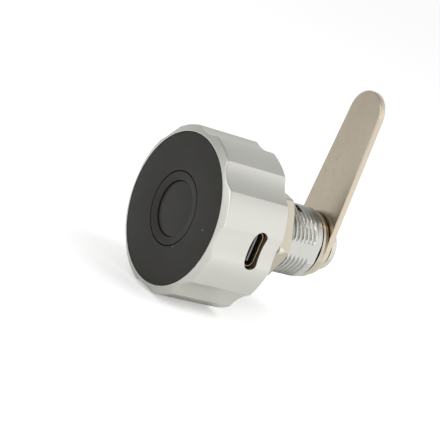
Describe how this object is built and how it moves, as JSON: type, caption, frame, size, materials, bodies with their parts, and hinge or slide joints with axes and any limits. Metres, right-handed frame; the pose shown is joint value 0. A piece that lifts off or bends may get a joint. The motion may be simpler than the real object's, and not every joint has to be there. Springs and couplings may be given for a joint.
{
  "type": "fingerprint_cam_lock",
  "caption": "Fingerprint cam lock: fluted round knob with a sensor in its black face and a charging socket, threaded barrel with hex nut, and a long straight cam.",
  "frame": {"origin": "on the lock's axis, in the plane where the barrel's flange seats on the panel", "axes": "+Y runs along the lock's axis from the knob to the cam, +Z is where the cam points at rest, +X is the side of the charging socket"},
  "size_m": [0.0412, 0.0485, 0.0628],
  "materials": {
    "satin_alloy": "satin",
    "black_face": "matte",
    "black_bezel": "matte",
    "black_pad": "matte",
    "clear_guide": "frosted",
    "small_board": "solder mask",
    "ribbon_film": "film",
    "frame_plastic": "moulded",
    "cell_wrap": "foil",
    "main_board_green": "solder mask",
    "socket_shell": "drawn",
    "socket_tongue": "moulded",
    "motor_case": "drawn",
    "guide_plastic": "moulded",
    "cover_alloy": "die cast",
    "cover_screw_steel": "plain",
    "screw_brass": "machined",
    "bolt_steel": "machined",
    "spindle_alloy": "die cast",
    "spindle_screw_steel": "plain",
    "stop_nickel": "plated",
    "cam_nickel": "plated",
    "spring_steel": "plated",
    "screw_nickel": "plated",
    "barrel_zinc": "plated die cast",
    "nut_nickel": "plated",
    "washer_nylon": "moulded"
  },
  "bodies": {
    "base": {"barrel": "barrel_zinc", "mounting_nut": "nut_nickel", "thrust_washer": "washer_nylon"},
    "knob": {"knob_housing": "satin_alloy", "face_plate": "black_face", "sensor_bezel": "black_bezel", "fingerprint_sensor": "black_pad", "status_light_guide": "clear_guide", "sensor_board": "small_board", "sensor_ribbon": "ribbon_film", "inner_frame": "frame_plastic", "battery": "cell_wrap", "main_board": "main_board_green", "usb_shell": "socket_shell", "usb_tongue": "socket_tongue", "drive_motor": "motor_case", "bolt_guide": "guide_plastic", "rear_cover": "cover_alloy", "cover_screw_1": "cover_screw_steel", "cover_screw_2": "cover_screw_steel", "cover_screw_3": "cover_screw_steel", "cover_screw_4": "cover_screw_steel", "spindle": "spindle_alloy", "spindle_screw_1": "spindle_screw_steel", "spindle_screw_2": "spindle_screw_steel", "spindle_screw_3": "spindle_screw_steel", "stop_washer": "stop_nickel", "cam": "cam_nickel", "spring_washer": "spring_steel", "cam_screw": "screw_nickel"},
    "bolt": {"lock_bolt": "bolt_steel"},
    "screw": {"lead_screw": "screw_brass"}
  },
  "joints": [
    {"name": "knob_turn", "type": "hinge", "parent": "base", "child": "knob", "pos_m": [0, 0, 0], "axis": [0, 1, 0], "range_deg": [0, 90]},
    {"name": "bolt_slide", "type": "slide", "parent": "knob", "child": "bolt", "axis": [0, 1, 0], "range_m": [0, 0.0022]},
    {"name": "screw_turn", "type": "hinge", "parent": "knob", "child": "screw", "pos_m": [-0.0112, 0, 0], "axis": [0, 1, 0], "range_deg": [0, 1584]}
  ],
  "couplings": [
    {"joint": "screw_turn", "follows": "bolt_slide", "rad_per_m": 12566}
  ]
}
